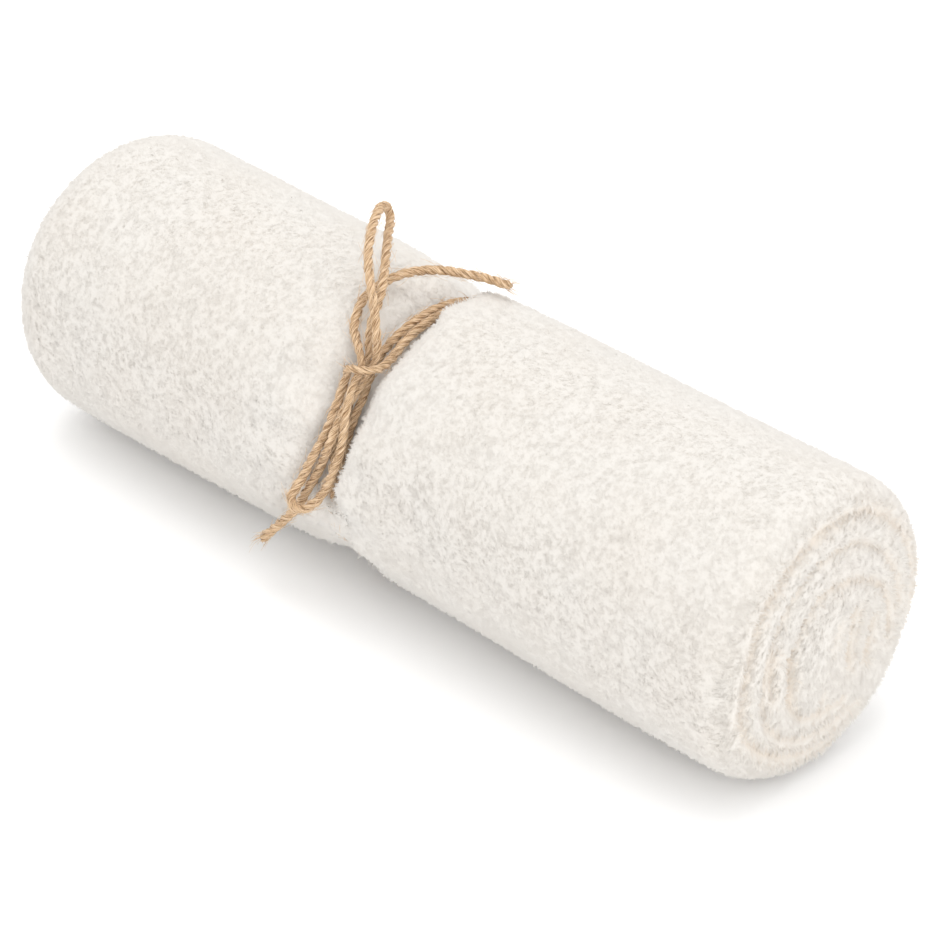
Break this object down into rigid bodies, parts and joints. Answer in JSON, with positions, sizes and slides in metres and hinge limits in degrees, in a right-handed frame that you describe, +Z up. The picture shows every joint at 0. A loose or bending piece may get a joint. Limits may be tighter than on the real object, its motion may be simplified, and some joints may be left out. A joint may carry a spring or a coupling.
{
  "type": "rolled bath towel",
  "caption": "Thick plush bath towel folded lengthwise, rolled up into a cylinder and tied round its middle with jute twine in a bow.",
  "frame": {"origin": "centre of the roll's footprint, on the surface that it rests on", "axes": "+X along the roll towards the end whose turns show, -Y towards the side that the knot is on, +Z up"},
  "size_m": [0.359, 0.1189, 0.1348],
  "materials": {
    "plush": "deep soft ivory pile, matt with a slight sheen at grazing angles",
    "jute": "dry natural twisted fibre with fine stray hairs"
  },
  "bodies": {
    "root": {"rolled_towel": "plush", "jute_twine": "jute"}
  },
  "joints": []
}
